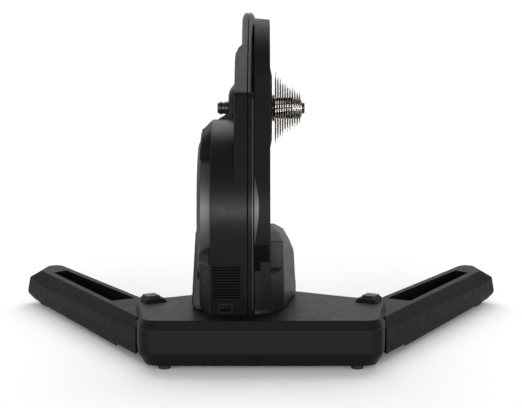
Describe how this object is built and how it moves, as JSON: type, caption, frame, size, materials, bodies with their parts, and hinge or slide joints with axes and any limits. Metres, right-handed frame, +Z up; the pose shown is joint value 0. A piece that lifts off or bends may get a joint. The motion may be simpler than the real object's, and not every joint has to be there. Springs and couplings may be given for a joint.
{
  "type": "direct-drive bicycle trainer",
  "caption": "Direct-drive bicycle trainer: a slim tower with a flywheel and a rear cassette on a low base with two folding legs.",
  "frame": {"origin": "on the floor under the middle of the bounding box of the trainer with its legs opened out", "axes": "+Z up, +Y the way the bicycle faces, +X towards the chain side"},
  "size_m": [0.788, 0.4917, 0.489],
  "materials": {
    "black_plastic": "finely textured black moulding",
    "grey_plastic": "smooth dark grey moulding",
    "black_paint": "satin black powder coat on cast aluminium",
    "rubber": "matte black rubber",
    "bright_steel": "bright turned or drawn steel",
    "dark_steel": "dark machined or blackened steel",
    "aluminium": "machined aluminium",
    "nickel_steel": "nickel-plated stamped steel",
    "copper": "varnished copper winding",
    "circuit_board": "green coated board"
  },
  "bodies": {
    "frame": {"base_floor_plate": "dark_steel", "base_shell": "black_plastic", "belt_cover": "black_plastic", "brake_coils": "copper", "brake_core": "dark_steel", "control_board": "circuit_board", "drive_belt": "rubber", "flywheel_guard": "black_plastic", "freehub_bearing": "bright_steel", "housing_left_half": "black_paint", "housing_right_half": "black_paint", "hub_axle": "bright_steel", "hub_cover_plate": "grey_plastic", "hub_left_bearing": "bright_steel", "hub_right_bearing": "bright_steel", "idler_bracket": "dark_steel", "left_axle_boss": "black_paint", "left_end_cap": "black_paint", "left_hinge_pin": "bright_steel", "left_inlet_contact": "bright_steel", "left_latch_spring": "bright_steel", "left_rear_foot": "rubber", "left_shaft_bearing": "bright_steel", "mains_inlet": "black_plastic", "pedestal_left_cover": "grey_plastic", "pedestal_right_cover": "grey_plastic", "right_end_cap": "black_paint", "right_hinge_pin": "bright_steel", "right_inlet_contact": "bright_steel", "right_latch_spring": "bright_steel", "right_rear_foot": "rubber", "right_shaft_bearing": "bright_steel", "vent_grille": "black_plastic"},
    "left_leg_body": {"left_leg": "black_plastic", "left_leg_foot": "rubber"},
    "right_leg_body": {"right_leg": "black_plastic", "right_leg_foot": "rubber"},
    "left_latch_body": {"left_latch_button": "grey_plastic"},
    "right_latch_body": {"right_latch_button": "grey_plastic"},
    "flywheel_body": {"flywheel": "dark_steel", "flywheel_shaft": "bright_steel", "flywheel_nut": "bright_steel", "flywheel_pulley": "aluminium", "brake_rotor": "aluminium"},
    "hub_body": {"hub_pulley": "aluminium"},
    "freehub_body_group": {"freehub_body": "dark_steel", "cassette_lockring": "dark_steel", "sprocket_11": "nickel_steel", "sprocket_12": "nickel_steel", "sprocket_13": "nickel_steel", "sprocket_14": "nickel_steel", "sprocket_15": "nickel_steel", "sprocket_16": "nickel_steel", "sprocket_17": "nickel_steel", "sprocket_19": "nickel_steel", "sprocket_21": "nickel_steel", "sprocket_23": "nickel_steel", "sprocket_25": "nickel_steel"},
    "idler_body": {"idler_roller": "dark_steel"}
  },
  "joints": [
    {"name": "left_leg_fold", "type": "hinge", "parent": "frame", "child": "left_leg_body", "pos_m": [-0.1606, -0.1405, 0.035], "axis": [0, 0, 1], "range_deg": [-29, 0]},
    {"name": "right_leg_fold", "type": "hinge", "parent": "frame", "child": "right_leg_body", "pos_m": [0.1606, -0.1405, 0.035], "axis": [0, 0, 1], "range_deg": [0, 29]},
    {"name": "left_latch_press", "type": "slide", "parent": "frame", "child": "left_latch_body", "axis": [0, 0, -1], "range_m": [0, 0.0035], "stiffness_N_per_m": 900, "springref_m": -0.003, "deforming": ["left_latch_spring"]},
    {"name": "right_latch_press", "type": "slide", "parent": "frame", "child": "right_latch_body", "axis": [0, 0, -1], "range_m": [0, 0.0035], "stiffness_N_per_m": 900, "springref_m": -0.003, "deforming": ["right_latch_spring"]},
    {"name": "flywheel_spin", "type": "hinge", "parent": "frame", "child": "flywheel_body", "pos_m": [0, -0.105, 0.206], "axis": [1, 0, 0], "continuous": true},
    {"name": "hub_spin", "type": "hinge", "parent": "frame", "child": "hub_body", "pos_m": [0, -0.037, 0.3492], "axis": [1, 0, 0], "continuous": true},
    {"name": "freehub_spin", "type": "hinge", "parent": "hub_body", "child": "freehub_body_group", "pos_m": [0, -0.037, 0.3492], "axis": [1, 0, 0], "continuous": true},
    {"name": "idler_spin", "type": "hinge", "parent": "frame", "child": "idler_body", "pos_m": [0, -0.14644, 0.24915], "axis": [1, 0, 0], "continuous": true}
  ],
  "couplings": [
    {"joint": "hub_spin", "follows": "flywheel_spin", "ratio": 0.2},
    {"joint": "idler_spin", "follows": "flywheel_spin", "ratio": -1.4286}
  ]
}
